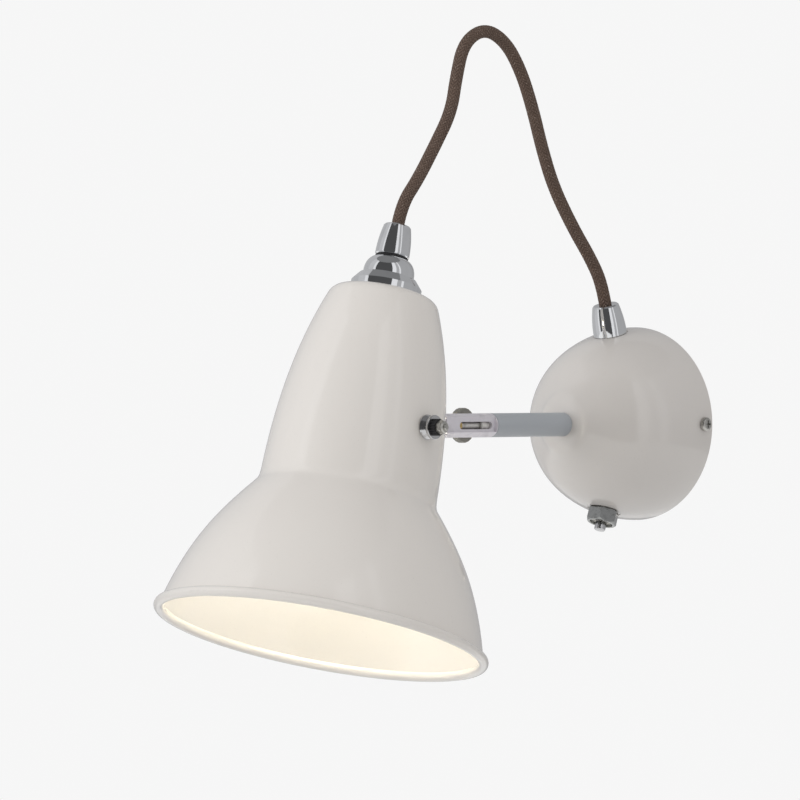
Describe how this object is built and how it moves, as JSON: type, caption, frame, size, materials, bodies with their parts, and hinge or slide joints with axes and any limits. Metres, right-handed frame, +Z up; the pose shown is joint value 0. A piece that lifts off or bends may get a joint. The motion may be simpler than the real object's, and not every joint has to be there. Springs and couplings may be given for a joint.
{
  "type": "wall lamp",
  "caption": "Wall lamp: domed wall box, short round arm, bell shade that swivels on the arm and tilts on side pivots, fabric flex looping from box to shade.",
  "frame": {"origin": "centre of the wall box's back face, on the wall", "axes": "+Y into the wall, along the arm's axis; +Z up; +X to the right seen from the room"},
  "size_m": [0.1522, 0.303, 0.2989],
  "materials": {
    "shade_paint": "gloss warm white paint",
    "box_paint": "gloss warm white paint",
    "arm_finish": "satin grey finish",
    "head_finish": "satin turned and milled",
    "chrome": "polished",
    "bright_steel": "zinc or nickel plated",
    "brass": "plain",
    "black_rubber": "matt black",
    "holder_plastic": "moulded",
    "bulb_glass": "opal, lit",
    "flex_braid": "dark brown braid with fine pale flecks"
  },
  "bodies": {
    "wall_box": {"wall_box_cover": "box_paint", "wall_plate": "bright_steel", "cover_screws": "bright_steel", "terminal_block": "holder_plastic", "terminal_screws": "bright_steel", "earth_screw": "bright_steel", "arm_tube": "arm_finish", "arm_stud": "bright_steel", "arm_washer": "bright_steel", "arm_nut": "bright_steel", "swivel_head": "head_finish", "swivel_bush": "brass", "box_cord_grip": "chrome", "box_grip_nipple": "brass", "box_grip_nut": "brass", "switch_bezel_nut": "chrome", "switch_body": "holder_plastic", "flex_wall_run": "flex_braid"},
    "fork": {"fork": "bright_steel", "swivel_shank": "bright_steel", "swivel_washer": "bright_steel", "swivel_nut": "bright_steel", "pivot_bolts": "bright_steel", "pivot_spacers": "bright_steel", "ring_washers": "chrome", "friction_bush": "black_rubber", "friction_discs": "black_rubber", "lock_nuts": "bright_steel", "flex_shade_run": "flex_braid"},
    "shade": {"shade": "shade_paint", "cup_washers": "chrome", "gallery_collar": "chrome", "gallery_cap": "chrome", "grip_seal": "black_rubber", "shade_cord_grip": "chrome", "holder_nipple": "brass", "holder_ring": "holder_plastic", "lampholder": "holder_plastic", "centre_contact": "brass", "bulb_cap": "brass", "bulb_glass": "bulb_glass"},
    "clamp_knob": {"clamp_knob": "bright_steel"},
    "switch_button": {"switch_button": "chrome"}
  },
  "joints": [
    {"name": "swivel", "type": "hinge", "parent": "wall_box", "child": "fork", "pos_m": [0, -0.14, 0], "axis": [0, 1, 0], "range_deg": [-45, 45], "deforming": ["flex_wall_run"]},
    {"name": "shade_tilt", "type": "hinge", "parent": "fork", "child": "shade", "pos_m": [0, -0.2025, 0], "axis": [-1, 0, 0], "range_deg": [-29, 26], "deforming": ["flex_shade_run"]},
    {"name": "clamp_turn", "type": "hinge", "parent": "wall_box", "child": "clamp_knob", "pos_m": [-0.0068, -0.1208, 0], "axis": [1, 0, 0], "range_deg": [-180, 180]},
    {"name": "switch_press", "type": "slide", "parent": "wall_box", "child": "switch_button", "axis": [0, 0.3584, 0.9336], "range_m": [0, 0.0025], "stiffness_N_per_m": 400, "springref_m": -0.001}
  ]
}
